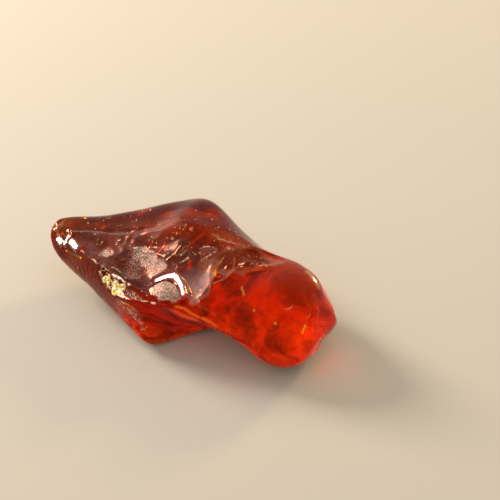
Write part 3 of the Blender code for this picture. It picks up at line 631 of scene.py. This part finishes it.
def facetPush(points, normals, form, facing, halfWidth, path):
    # turns a ribbon of the surface along the path to face one way; also says how much of each point is turned
    facing = np.array(facing) / np.linalg.norm(facing)
    spots, along = sampled(path, form["ribbonStep"])
    level = facing - (along @ facing)[:, None] * along
    level /= np.linalg.norm(level, axis=1)[:, None]
    distance, index = nearestOn(points, spots, form["ribbonReach"] * halfWidth)
    offset = ((points - spots[index]) * level[index]).sum(axis=1)
    beside = np.sqrt(np.clip(distance ** 2 - offset ** 2, 0.0, None)) / halfWidth
    near = (distance < farAway) & (np.abs(offset) < form["facetDepth"])
    share = np.clip(form["facetEdge"] - beside, 0.0, 1.0) * near * (normals @ facing > form["facetSide"])
    share = share * share * (3 - 2 * share)
    return -(offset * share)[:, None] * level[index], share


def edgeShare(points, normals, form, halfWidth, path):
    # 1 on the path, which is first laid on the surface, and 0 past its width; and the side of it that a
    # point is on
    spots, along = sampled(path, form["ribbonStep"])
    laid = points[[np.argmin(((points - spot) ** 2).sum(axis=1)) for spot in spots]]
    distance, index = nearestOn(points, laid, form["ribbonReach"] * halfWidth)
    side = (np.cross(along[index], normals) * (points - laid[index])).sum(axis=1) / halfWidth
    return np.clip(form["threadEdge"] - distance / halfWidth, 0.0, 1.0), np.clip(side, -1.0, 1.0)


def shapeForm(points, normals, form):
    # works the points in place, and returns how much of each one belongs to a gleaming facet
    for scar in form["scars"].values():
        points += scarPush(points, normals, form, *scar)
    for mound in form["mounds"].values():
        points += moundPush(points, normals, form, *mound)
    points += sum(linePush(points, normals, form, line) for line in form["lines"].values())
    for facet in form["facets"].values():
        push, _ = facetPush(points, normals, form, *facet)
        points += push
    gleam = np.zeros(len(points))
    for ribbon in form["gleams"].values():
        push, share = facetPush(points, normals, form, form["gleamFacing"], *ribbon)
        points += push
        gleam = np.maximum(gleam, share)
    return gleam


# ---- the pebble's skin

# Each area is a tilted oval: place, half sizes, heading and strength; lengths in mm.
skin = {
    "frost": {  # pitted and pale, where water has worked on a hollow
        "bowlWall": ((-4.2, -2.9, 7.2), (3.6, 1.6, 1.3), -20, 2.2),
        "bowlFloor": ((-5.4, -3.9, 6.4), (3.2, 2.0, 1.4), -22, 0.6),
        "mound": ((0.0, -6.5, 7.1), (2.1, 1.7, 1.0), -15, 3.0),
        "tipSide": ((-9.75, -3.25, 6.55), (1.3, 1.0, 0.9), -20, 1.0),
    },
    "haze": {  # the milky film of weathering, its lilac-grey colour partly a painted sheen
        "topFace": ((-6.6, -2.2, 7.9), (11.0, 4.4, 4.0), 6, 2.6),
        "scoopRim": ((3.3, -4.2, 7.2), (1.0, 3.0, 1.5), 0, 3.0),
        "scoop": ((1.9, -3.9, 7.4), (2.4, 2.4, 1.6), 0, 3.0),
    },
    "rindAndShade": {  # the brown stain under it, partly weathering and partly painted shade that darkens the older half and the back slope
        "leftBody": ((-7.5, 0.0, 7.0), (11.6, 11.0, 6.4), 0, 5.0),
        "backSlope": ((0.5, 6.0, 7.0), (9.5, 5.0, 6.0), -10, 2.2),
    },
    "paintedSheen": {  # a painted lilac sheen, on a rougher skin
        "scoop": ((1.6, -4.0, 7.4), (2.2, 2.4, 1.6), 0, 0.7),
        "bar": ((-0.3, -4.2, 7.3), (2.4, 1.0, 1.0), -10, 0.8),
        "scoopSide": ((3.3, -3.8, 7.4), (0.9, 3.0, 1.6), -8, 1.2),
        "crest": ((-4.2, 1.5, 9.0), (3.4, 1.3, 1.6), 25, 0.6),
    },
    "dull": {  # scuffed, so that it doesn't flash
        "crest": ((-4.3, 1.5, 9.0), (3.6, 1.3, 1.7), 34, 3.0),
        "ripples": ((-2.2, -0.5, 8.6), (1.3, 0.9, 0.9), 30, 1.5),
        "scoopSide": ((3.25, -3.7, 7.4), (0.8, 3.0, 1.6), -8, 2.0),
    },
    "pebbly": {  # rough broken amber
        "neck": ((6.2, 0.5, 8.6), (4.2, 2.5, 1.8), 22, 2.6),
        "flank": ((-9.0, -6.2, 4.2), (7.4, 2.8, 2.8), -22, 1.6),
    },
    "crumbs": {  # dry crust
        "splitFloor": ((-7.0, -6.7, 5.4), (2.1, 0.7, 0.7), -27, 1.6),
        "splitEnd": ((-3.8, -7.7, 5.8), (2.3, 0.6, 0.7), -12, 1.2),
    },
    "clear": {  # free of haze and rind, and so of their painted sheen and painted shade
        "frontFacet": ((-2.3, -8.6, 2.8), (5.2, 2.6, 2.7), -18, 4.0),
    },
    # how an area's edge wanders: length and distance in mm, seeds
    "wander": (1.3, 0.7, (5.0, 6.0, 7.0)),
    "spotWander": 0.3,
    # breaks in a crushed edge, and crumbs: length in mm, seed, middle, contrast
    "ragged": (0.4, 21.0, 0.55, 1.6),
    "crumbly": (0.22, 25.0, 0.3, 2.2),
    "chipShare": 0.7,
    "sparkShare": 0.9,
    "underside": (3.0, 1.6),  # how steeply it begins, and where
    # relief: length and height in mm, seed, and the skins that it follows; calm is all but gleaming facets
    "relief": {
        "waves": (2.6, 0.05, 3.0, ["calm"]),
        "ripples": (0.7, 0.05, 9.0, ["haze", "calm"]),
        "pebbles": (0.42, 0.06, 13.0, ["pebbly"]),
        "pits": (0.26, 0.035, 11.0, ["frost"]),
        "humps": (1.8, 0.16, 17.0, ["under"]),
    },
}


def ovalShare(points, place, halfSizes, heading, strength):
    # the strength in the middle of a tilted oval space, 0 at its skin
    turn = math.radians(heading)
    offsets = points - np.array(place)
    along = offsets[:, 0] * math.cos(turn) + offsets[:, 1] * math.sin(turn)
    across = offsets[:, 1] * math.cos(turn) - offsets[:, 0] * math.sin(turn)
    reach = np.sqrt(
        (along / halfSizes[0]) ** 2 + (across / halfSizes[1]) ** 2 + (offsets[:, 2] / halfSizes[2]) ** 2
    )
    return np.clip(1.0 - reach, 0.0, 1.0) * strength


def surfaceNoise(points, length, seed):
    offset = Vector((seed, 2 * seed, 3 * seed))
    return np.array([noise.noise(Vector(p) / length + offset) for p in points])


def patchy(points, length, seed, middle, contrast):
    return np.clip(middle + contrast * surfaceNoise(points, length, seed), 0.0, 1.0)


def markSkin(points, normals, form, finish, gleam):
    # how much of each skin every point has; edges, threads and chips are worked into the points as well
    length, far, seeds = finish["wander"]
    wander = np.stack([surfaceNoise(points, length, seed) for seed in seeds], axis=1) * far
    skins = {}
    for name in ("frost", "haze", "rindAndShade", "paintedSheen", "dull", "pebbly", "clear"):
        shares = [ovalShare(points + wander, *area) for area in finish[name].values()]
        skins[name] = np.clip(np.max(shares, axis=0), 0.0, 1.0)
    clear = skins.pop("clear")
    for name in ("haze", "rindAndShade"):
        skins[name] *= 1.0 - clear
    skins.update({name: np.zeros(len(points)) for name in ("paintedGlow", "paintedGlint", "pale", "gleam")})
    ragged = patchy(points, *finish["ragged"])
    for halfWidth, rise, tones, path in form["edges"].values():
        share, side = edgeShare(points, normals, form, halfWidth, path)
        points += normals * (share * rise * side)[:, None]
        for name, tone in tones.items():
            broken = ragged if name in ("pale", "frost") else 1.0
            skins[name] = np.maximum(skins[name], share * tone * broken)
    crumbs = patchy(points, *finish["crumbly"])
    for area in finish["crumbs"].values():
        skins["pale"] = np.maximum(skins["pale"], np.clip(ovalShare(points, *area), 0.0, 1.0) * crumbs)
    for kind, tone, depth, most, broken in (
        ("chips", "pale", form["chipDepth"], finish["chipShare"], ragged),
        ("paintedGlintSparks", "paintedGlint", 0.0, finish["sparkShare"], 1.0),
        ("paintedGlowSparks", "paintedGlow", 0.0, finish["sparkShare"], 1.0),
    ):
        for place, radius in form[kind]:
            distance = np.linalg.norm(points + finish["spotWander"] * wander - place, axis=1)
            share = np.clip(form["spotEdge"] - distance / radius, 0.0, 1.0)
            points -= normals * (share * depth)[:, None]
            skins[tone] = np.maximum(skins[tone], most * share * broken)
    skins["gleam"] = np.maximum(skins["gleam"], gleam)
    for name in ("frost", "haze", "paintedSheen", "dull"):
        skins[name] *= 1.0 - skins["gleam"]
    steep, start = finish["underside"]
    skins["under"] = np.clip(-steep * normals[:, 2] - start, 0.0, 1.0)
    return skins


def carve(mesh, form, finish):
    points = vectors(mesh.vertices, "co") / mm
    normals = vectors(mesh.vertices, "normal")
    gleam = shapeForm(points, normals, form)
    skins = markSkin(points, normals, form, finish, gleam)
    shares = {**skins, "calm": 1.0 - gleam}
    lift = np.zeros(len(points))
    for length, height, seed, places in finish["relief"].values():
        bumps = surfaceNoise(points, length, seed) * height
        for name in places:
            bumps *= shares[name]
        lift += bumps
    points += normals * lift[:, None]
    mesh.vertices.foreach_set("co", (points * mm).astype(np.float32).ravel())
    for name, share in skins.items():
        layer = mesh.attributes.new(name, "FLOAT", "POINT")
        layer.data.foreach_set("value", np.clip(share, 0.0, 1.0).astype(np.float32))
    mesh.update()


def ground(mesh, form, box):
    # the worn underside cut flat, and the whole set on the middle of the CAD piece's box, just inside it
    work = bmesh.new()
    work.from_mesh(mesh)
    everything = work.verts[:] + work.edges[:] + work.faces[:]
    bmesh.ops.bisect_plane(work, geom=everything, plane_co=(0, 0, 0), plane_no=(0, 0, 1), clear_inner=True)
    bmesh.ops.holes_fill(work, edges=[edge for edge in work.edges if edge.is_boundary])
    bmesh.ops.triangulate(work, faces=work.faces)
    under = work.verts.layers.float["under"]
    for v in work.verts:
        if v.co.z < form["soleHeight"] * mm:
            v[under] = 1.0
    spots = np.array([v.co for v in work.verts])
    extent = spots.max(axis=0) - spots.min(axis=0)
    middle = (spots.min(axis=0) + spots.max(axis=0)) / 2
    room = np.array(box[1]) - np.array(box[0])
    aim = (np.array(box[0]) + np.array(box[1])) / 2
    fit = np.minimum(1.0, form["fit"] * room / extent)
    bmesh.ops.translate(work, verts=work.verts, vec=(-middle[0], -middle[1], 0))
    bmesh.ops.scale(work, verts=work.verts, vec=fit)
    bmesh.ops.translate(work, verts=work.verts, vec=(aim[0], aim[1], 0))
    work.to_mesh(mesh)
    work.free()
    for face in mesh.polygons:
        face.use_smooth = True


# ---- amber

amberLook = {
    "clear": "#FFEBD0",
    "redClear": "#F6AA80",  # where it is redder, in slow streaks
    "absorbed": "#FFB41A",
    "density": 290.0,
    "ior": 1.54,
    "polish": 0.03,
    "reflection": "#FF7030",
    "coatRoughness": 0.17,
    "dullRoughness": 0.6,
    # each kind of skin, from the lowest up: colour, roughness, how clear it is
    "skins": {
        # weathered brown that is also painted shade, darkening the older half and the back slope
        "rindAndShade": ("#5E2412", 0.14, 1.0),
        "under": ("#FFDFA4", 0.3, 0.12),
        # milky weathering whose lilac-grey colour is partly a painted sheen
        "haze": ("#4E3838", 0.3, 0.4),
        # a painted lilac sheen
        "paintedSheen": ("#7C7078", 0.34, 0.35),
        "pebbly": ("#6A2A08", 0.26, 0.8),
        "frost": ("#BEB0A6", 0.4, 0.1),
        # a pale painted highlight over the polished facets and the lobe's glint
        "gleam": ("#E2D2D6", 0.12, 0.96),
        # painted glow and painted glints, colour that stands for light caught inside
        "paintedGlow": ("#EC420A", 0.1, 0.3),
        "paintedGlint": ("#F4B41A", 0.1, 0.2),
        "pale": ("#E8DCC8", 0.3, 0.05),
    },
    "oldRind": "#2E120A",
    "redRind": "#A03010",
    # painted shade: the frost is darker in the low spots of its grain bump
    "pit": "#684A3C",
    "murk": "#5E1406",  # the dark clouds of the underside
    "threadTint": 4.0,  # how much sooner a thin thread of painted glint and glow takes its colour than it clouds
    # patterns: size in mm, detail, roughness, distortion
    "patterns": {
        "mottle": (1.6, 5.0, 0.5, 0.0),
        "grain": (0.16, 3.0, 0.6, 0.0),
        "clouds": (2.4, 5.0, 0.65, 0.6),
        "patches": (2.2, 6.0, 0.7, 0.8),
    },
    # what follows a pattern: where in it that starts and is full, and how much there is before the start
    "steps": {
        "hazy": ("mottle", 0.35, 0.65, 0.35),
        "redder": ("mottle", 0.42, 0.6, 0.0),
        "grainy": ("grain", 0.43, 0.6, 0.0),
        "cloudy": ("clouds", 0.37, 0.66, 0.0),
        "old": ("patches", 0.5, 0.38, 0.0),
        "red": ("patches", 0.54, 0.66, 0.0),
    },
    # painted light and shade: where the underside is painted paler, so that the lobe glows over it, and
    # darker
    # where the amount is below 0: place and reach in mm, how much
    "glows": [
        ((9.3, 2.3, 0.0), 3.6, 0.6), ((12.3, 1.8, 0.0), 2.4, 0.3), ((7.6, -0.7, 0.2), 2.0, -0.7),
        ((9.0, 4.6, 1.2), 1.6, -0.2), ((2.7, 1.0, 0.0), 1.6, 0.5),
    ],
    "frostGrain": (1.7, -1.05),  # how strongly its edge breaks into grains, and by how much that thins it
    "frostFull": 0.55,
    "frostCore": 4.0,  # how soon there are grains inside a patch
    "grainDepth": 0.08,  # mm
    "grainRelief": (0.9, 0.02),  # on frost, and what a polished face keeps
}


def makeAmber(look):
    # succinite, a fossil resin tumbled smooth: clear and warm inside, with a glassy surface that water has
    # frosted in the hollows, a brown weathered rind on the older half that is also painted shade there, a
    # cloudy, scuffed underside, and a painted sheen, painted glints and painted glow of light caught inside
    material, tree, shader = startMaterial("tumbledAmber")
    place = addNode(tree, "ShaderNodeTexCoord").outputs["Object"]
    share = {
        name: addNode(tree, "ShaderNodeAttribute", attribute_name=name).outputs["Fac"]
        for name in (*look["skins"], "dull")
    }
    pattern = {
        name: addNode(tree, "ShaderNodeTexNoise", {
            "Vector": place, "Scale": 1 / (length * mm), "Detail": detail, "Roughness": rough,
            "Distortion": distortion}).outputs[0]
        for name, (length, detail, rough, distortion) in look["patterns"].items()
    }
    step = {
        name: addNode(tree, "ShaderNodeMapRange", {
            "Value": pattern[source], "From Min": start, "From Max": full, "To Min": least}).outputs[0]
        for name, (source, start, full, least) in look["steps"].items()
    }
    share["haze"] = addNode(tree, "ShaderNodeMath", {
        0: share["haze"], 1: step["hazy"]}, operation="MULTIPLY").outputs[0]
    # frost is thick in the middle of its patches and breaks up into grains at their edges
    strength, thinning = look["frostGrain"]
    grains = addNode(tree, "ShaderNodeMath", {
        0: pattern["grain"], 1: strength, 2: thinning}, operation="MULTIPLY_ADD")
    grown = addNode(tree, "ShaderNodeMath", {0: share["frost"], 1: grains.outputs[0]}, operation="ADD")
    broken = addNode(tree, "ShaderNodeMapRange", {
        "Value": grown.outputs[0], "From Min": 0.0, "From Max": look["frostFull"]})
    core = addNode(tree, "ShaderNodeMath", {
        0: share["frost"], 1: look["frostCore"]}, operation="MULTIPLY", use_clamp=True)
    share["frost"] = addNode(tree, "ShaderNodeMath", {
        0: broken.outputs[0], 1: core.outputs[0]}, operation="MULTIPLY").outputs[0]
    # the clouds of the underside, with painted light and shade: paler and darker in places
    cloud = step["cloudy"]
    for spot, reach, amount in look["glows"]:
        far = addNode(tree, "ShaderNodeVectorMath", {0: place, 1: Vector(spot) * mm}, operation="DISTANCE")
        glow = addNode(tree, "ShaderNodeMapRange", {
            "Value": far.outputs["Value"], "From Min": 0.0, "From Max": reach * mm, "To Min": amount,
            "To Max": 0.0}, interpolation_type="SMOOTHSTEP")
        cloud = addNode(tree, "ShaderNodeMath", {0: cloud, 1: glow.outputs[0]}, use_clamp=True).outputs[0]
    # colours that follow a pattern
    tint = {name: linear(values[0]) for name, values in look["skins"].items()}
    for name, factor, first, second in (
        ("clear", step["redder"], linear(look["clear"]), linear(look["redClear"])),
        # frost, painted darker where its grain bump is low
        ("frost", step["grainy"], linear(look["pit"]), tint["frost"]),
        ("under", cloud, linear(look["murk"]), tint["under"]),
        ("aged", step["old"], tint["rindAndShade"], linear(look["oldRind"])),
    ):
        tint[name] = addNode(tree, "ShaderNodeMix", {
            0: factor, 6: first, 7: second}, data_type="RGBA").outputs[2]
    tint["rindAndShade"] = addNode(tree, "ShaderNodeMix", {
        0: step["red"], 6: tint["aged"], 7: linear(look["redRind"])}, data_type="RGBA").outputs[2]
    # one skin over another
    colour, roughness, clearness = tint["clear"], look["polish"], 1.0
    for name, (_, rough, clear) in look["skins"].items():
        tinted = share[name]
        if name in ("paintedGlow", "paintedGlint"):
            tinted = addNode(tree, "ShaderNodeMath", {
                0: tinted, 1: look["threadTint"]}, operation="MULTIPLY", use_clamp=True).outputs[0]
        colour = addNode(tree, "ShaderNodeMix", {
            0: tinted, 6: colour, 7: tint[name]}, data_type="RGBA").outputs[2]
        roughness = addNode(tree, "ShaderNodeMix", {0: share[name], 2: roughness, 3: rough}).outputs[0]
        clearness = addNode(tree, "ShaderNodeMix", {0: share[name], 2: clearness, 3: clear}).outputs[0]
    roughness = addNode(tree, "ShaderNodeMix", {
        0: share["dull"], 2: roughness, 3: look["dullRoughness"]}).outputs[0]
    onFrost, onPolish = look["grainRelief"]
    relief = addNode(tree, "ShaderNodeMath", {
        0: share["frost"], 1: onFrost, 2: onPolish}, operation="MULTIPLY_ADD")
    bump = addNode(tree, "ShaderNodeBump", {
        "Height": pattern["grain"], "Distance": look["grainDepth"] * mm, "Strength": relief.outputs[0]})
    fill(tree, shader, {
        "Base Color": colour, "Roughness": roughness, "Transmission Weight": clearness, "IOR": look["ior"],
        "Specular Tint": linear(look["reflection"]), "Normal": bump.outputs[0],
        # a gleaming facet has a clear coat, which flashes white
        "Coat Weight": share["gleam"], "Coat Roughness": look["coatRoughness"],
    })
    inside = addNode(tree, "ShaderNodeVolumeAbsorption", {
        "Color": linear(look["absorbed"]), "Density": look["density"]})
    fill(tree, tree.nodes["Material Output"], {"Volume": inside.outputs[0]})
    return material


def makePebble():
    mesh = roundedMesh(pebble)
    refine(mesh, pebble["fineBoxes"])
    print("pebble rounded from its net:", len(mesh.polygons), "faces")
    carve(mesh, pebble, skin)
    ground(mesh, pebble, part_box("raw_amber"))
    mesh.name = "amberPebble"
    mesh.materials.append(makeAmber(amberLook))
    piece = newObject("amberPebble", mesh)
    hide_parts("raw_amber")
    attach(piece, "root")
    print("amber pebble carved:", len(mesh.polygons), "triangles")
    return piece


pebblePiece = makePebble()

# ---- crust in the split, and specks on the rind

# An area is a ball of the pebble's surface: middle and radius. All in mm; density is per square mm.
crust = {
    "crustLumps": {  # yellow lumps that fill the open end of the split
        "areas": [((-7.9, -6.2, 5.6), 0.45), ((-6.8, -6.5, 5.65), 0.4), ((-5.9, -7.1, 5.5), 0.65),
                  ((-5.5, -6.85, 5.9), 0.4)],
        "spacing": 0.2, "smallest": 0.16, "largest": 0.34, "flatness": 0.4, "density": 60, "clumping": 0.0,
        "rounding": 3, "seed": 4,
    },
    "crustGrains": {  # small cream grains along the rest of it
        "areas": [((-8.6, -5.8, 5.9), 0.5), ((-7.2, -6.5, 5.5), 0.8), ((-4.4, -7.4, 6.1), 0.6),
                  ((-3.6, -7.6, 6.2), 0.6), ((-2.4, -7.9, 6.3), 0.7), ((-1.0, -8.0, 6.5), 0.5)],
        "spacing": 0.12, "smallest": 0.04, "largest": 0.1, "flatness": 0.5, "density": 8, "clumping": 0.8,
        "rounding": 2, "seed": 9,
    },
    "rindSpecks": {  # fine cream specks on the older half
        "areas": [((-8.0, 1.5, 7.6), 3.5), ((-2.5, 1.5, 9.4), 3.6), ((2.0, 2.0, 9.0), 3.4),
                  ((-3.0, -1.0, 8.4), 2.6), ((-12.0, 0.5, 7.0), 3.0), ((6.5, 1.5, 8.6), 2.2)],
        "spacing": 0.08, "smallest": 0.02, "largest": 0.08, "flatness": 0.5, "density": 4.0, "clumping": 1.0,
        "rounding": 1, "seed": 12,
    },
}


lumpShape = {  # what all three kinds share; lengths in mm
    "clumpLength": 1.4,
    "clumpStart": 0.48,  # how much of the bed the clumps leave bare
    "clumpFull": 0.62,
    "tilt": 0.5,  # radians
    "dentLength": 0.3,
    "underside": -0.2,  # a face that looks further down than this holds no lumps
}


def scatterTree(shape):
    # scatters small irregular lumps over a bed of faces
    tree = bpy.data.node_groups.new("scatteredLumps", "GeometryNodeTree")
    for name, kind in (
        ("Bed", "Geometry"), ("Spacing", "Float"), ("Smallest", "Float"), ("Largest", "Float"),
        ("Flatness", "Float"), ("Density", "Float"), ("Clumping", "Float"), ("Rounding", "Int"),
        ("Seed", "Int"), ("Material", "Material"),
    ):
        tree.interface.new_socket(name, in_out="INPUT", socket_type="NodeSocket" + kind)
    tree.interface.new_socket("Lumps", in_out="OUTPUT", socket_type="NodeSocketGeometry")
    given = addNode(tree, "NodeGroupInput").outputs
    drift = addNode(tree, "ShaderNodeTexNoise", {"Scale": 1 / (shape["clumpLength"] * mm), "Detail": 3.0})
    dense = addNode(tree, "ShaderNodeMapRange", {
        "Value": drift.outputs[0], "From Min": shape["clumpStart"], "From Max": shape["clumpFull"]})
    factor = addNode(tree, "ShaderNodeMix", {0: given["Clumping"], 2: 1.0, 3: dense.outputs[0]})
    spread = addNode(tree, "GeometryNodeDistributePointsOnFaces", {
        "Mesh": given["Bed"], "Distance Min": given["Spacing"], "Density Max": given["Density"],
        "Density Factor": factor.outputs[0], "Seed": given["Seed"]}, distribute_method="POISSON")
    radius = addNode(tree, "FunctionNodeRandomValue", {
        2: given["Smallest"], 3: given["Largest"], "Seed": given["Seed"]}).outputs[1]
    tall = addNode(tree, "ShaderNodeMath", {0: radius, 1: given["Flatness"]}, operation="MULTIPLY")
    scale = addNode(tree, "ShaderNodeCombineXYZ", {0: radius, 1: radius, 2: tall.outputs[0]})
    tilt = shape["tilt"]
    spin = addNode(tree, "FunctionNodeRandomValue", {
        0: (-tilt, -tilt, 0.0), 1: (tilt, tilt, 6.28), "Seed": 3}, data_type="FLOAT_VECTOR")
    turned = addNode(tree, "FunctionNodeRotateRotation", {
        0: spread.outputs["Rotation"], 1: spin.outputs[0]}, rotation_space="LOCAL")
    ball = addNode(tree, "GeometryNodeMeshIcoSphere", {"Radius": 1.0, "Subdivisions": given["Rounding"]})
    placed = addNode(tree, "GeometryNodeInstanceOnPoints", {
        "Points": spread.outputs["Points"], "Instance": ball.outputs["Mesh"], "Rotation": turned.outputs[0],
        "Scale": scale.outputs[0]})
    pick = addNode(tree, "FunctionNodeRandomValue", {"Seed": 5})
    toned = addNode(tree, "GeometryNodeStoreNamedAttribute", {
        "Geometry": placed.outputs[0], "Name": "tone", "Value": pick.outputs[1]}, domain="INSTANCE")
    real = addNode(tree, "GeometryNodeRealizeInstances", {"Geometry": toned.outputs[0]})
    dents = addNode(tree, "ShaderNodeTexNoise", {"Scale": 1 / (shape["dentLength"] * mm), "Detail": 2.0})
    centred = addNode(tree, "ShaderNodeMath", {0: dents.outputs[0], 1: 0.5}, operation="SUBTRACT")
    reach = addNode(tree, "ShaderNodeMath", {
        0: centred.outputs[0], 1: given["Largest"]}, operation="MULTIPLY")
    push = addNode(tree, "ShaderNodeVectorMath", {
        0: addNode(tree, "GeometryNodeInputNormal").outputs[0], "Scale": reach.outputs[0]}, operation="SCALE")
    shaped = addNode(tree, "GeometryNodeSetPosition", {
        "Geometry": real.outputs[0], "Offset": push.outputs[0]})
    finished = addNode(tree, "GeometryNodeSetMaterial", {
        "Geometry": shaped.outputs[0], "Material": given["Material"]})
    addNode(tree, "NodeGroupOutput", {0: finished.outputs[0]})
    return tree


def bedFrom(piece, areas, underside):
    # the faces of a piece whose middles lie in the given balls, without its underside
    work = bmesh.new()
    work.from_mesh(piece.data)
    balls = [(Vector(place) * mm, radius * mm) for place, radius in areas]
    outside = [
        face for face in work.faces
        if face.normal.z < underside
        or all((face.calc_center_median() - place).length > radius for place, radius in balls)
    ]
    bmesh.ops.delete(work, geom=outside, context="FACES")
    bed = bpy.data.meshes.new("bed")
    work.to_mesh(bed)
    work.free()
    return bed


def scatter(name, tree, bed, values, material):
    piece = newObject(name, bed)
    modifier = piece.modifiers.new("scatter", "NODES")
    modifier.node_group = tree
    wanted = {"Material": material, "Density": values["density"] / mm ** 2}
    wanted.update({key.capitalize(): values[key] * mm for key in ("spacing", "smallest", "largest")})
    wanted.update({key.capitalize(): values[key] for key in ("flatness", "clumping", "rounding", "seed")})
    for socket in tree.interface.items_tree:
        if socket.name in wanted and socket.in_out == "INPUT":
            modifier[socket.identifier] = wanted[socket.name]
    piece.data = bpy.data.meshes.new_from_object(piece.evaluated_get(bpy.context.evaluated_depsgraph_get()))
    piece.modifiers.clear()
    for face in piece.data.polygons:
        face.use_smooth = True
    return piece


crustLook = {
    "yellow": "#EECA3C",
    "cream": "#DCD2B6",
    "roughness": 0.32,
    "ior": 1.54,
    "clearness": 0.2,
    "grainLength": 0.15,  # mm
    "grainDepth": 0.05,
    "grainRelief": 0.6,
    "creamier": (1.2, 0.1),  # how much the lumps differ, and how cream the yellowest is
    "contrast": 2.0,
}


def makeCrust(look):
    # the dried, oxidised crust in a split of old amber: waxy, crumbly and half see-through, yellow to cream
    material, tree, shader = startMaterial("amberCrust")
    tone = addNode(tree, "ShaderNodeAttribute", attribute_name="tone").outputs["Fac"]
    place = addNode(tree, "ShaderNodeTexCoord").outputs["Object"]
    grain = addNode(tree, "ShaderNodeTexNoise", {
        "Vector": place, "Scale": 1 / (look["grainLength"] * mm), "Detail": 3.0}).outputs[0]
    differ, least = look["creamier"]
    share = addNode(tree, "ShaderNodeMath", {0: tone, 1: differ, 2: least}, operation="MULTIPLY_ADD")
    shade = addNode(tree, "ShaderNodeMath", {0: share.outputs[0], 1: grain}, operation="MULTIPLY")
    spread = addNode(tree, "ShaderNodeMath", {
        0: shade.outputs[0], 1: look["contrast"]}, operation="MULTIPLY", use_clamp=True)
    colour = addNode(tree, "ShaderNodeMix", {
        0: spread.outputs[0], 6: linear(look["yellow"]), 7: linear(look["cream"])}, data_type="RGBA")
    bump = addNode(tree, "ShaderNodeBump", {
        "Height": grain, "Distance": look["grainDepth"] * mm, "Strength": look["grainRelief"]})
    fill(tree, shader, {
        "Base Color": colour.outputs[2], "Roughness": look["roughness"], "IOR": look["ior"],
        "Transmission Weight": look["clearness"], "Normal": bump.outputs[0]})
    return material


def makeCrustPieces():
    tree = scatterTree(lumpShape)
    material = makeCrust(crustLook)
    pieces = []
    for name, values in crust.items():
        bed = bedFrom(pebblePiece, values["areas"], lumpShape["underside"])
        pieces.append(scatter(name, tree, bed, values, material))
    for piece in pieces:
        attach(piece, "root")
        print(piece.name + ":", len(piece.data.polygons), "faces")


makeCrustPieces()
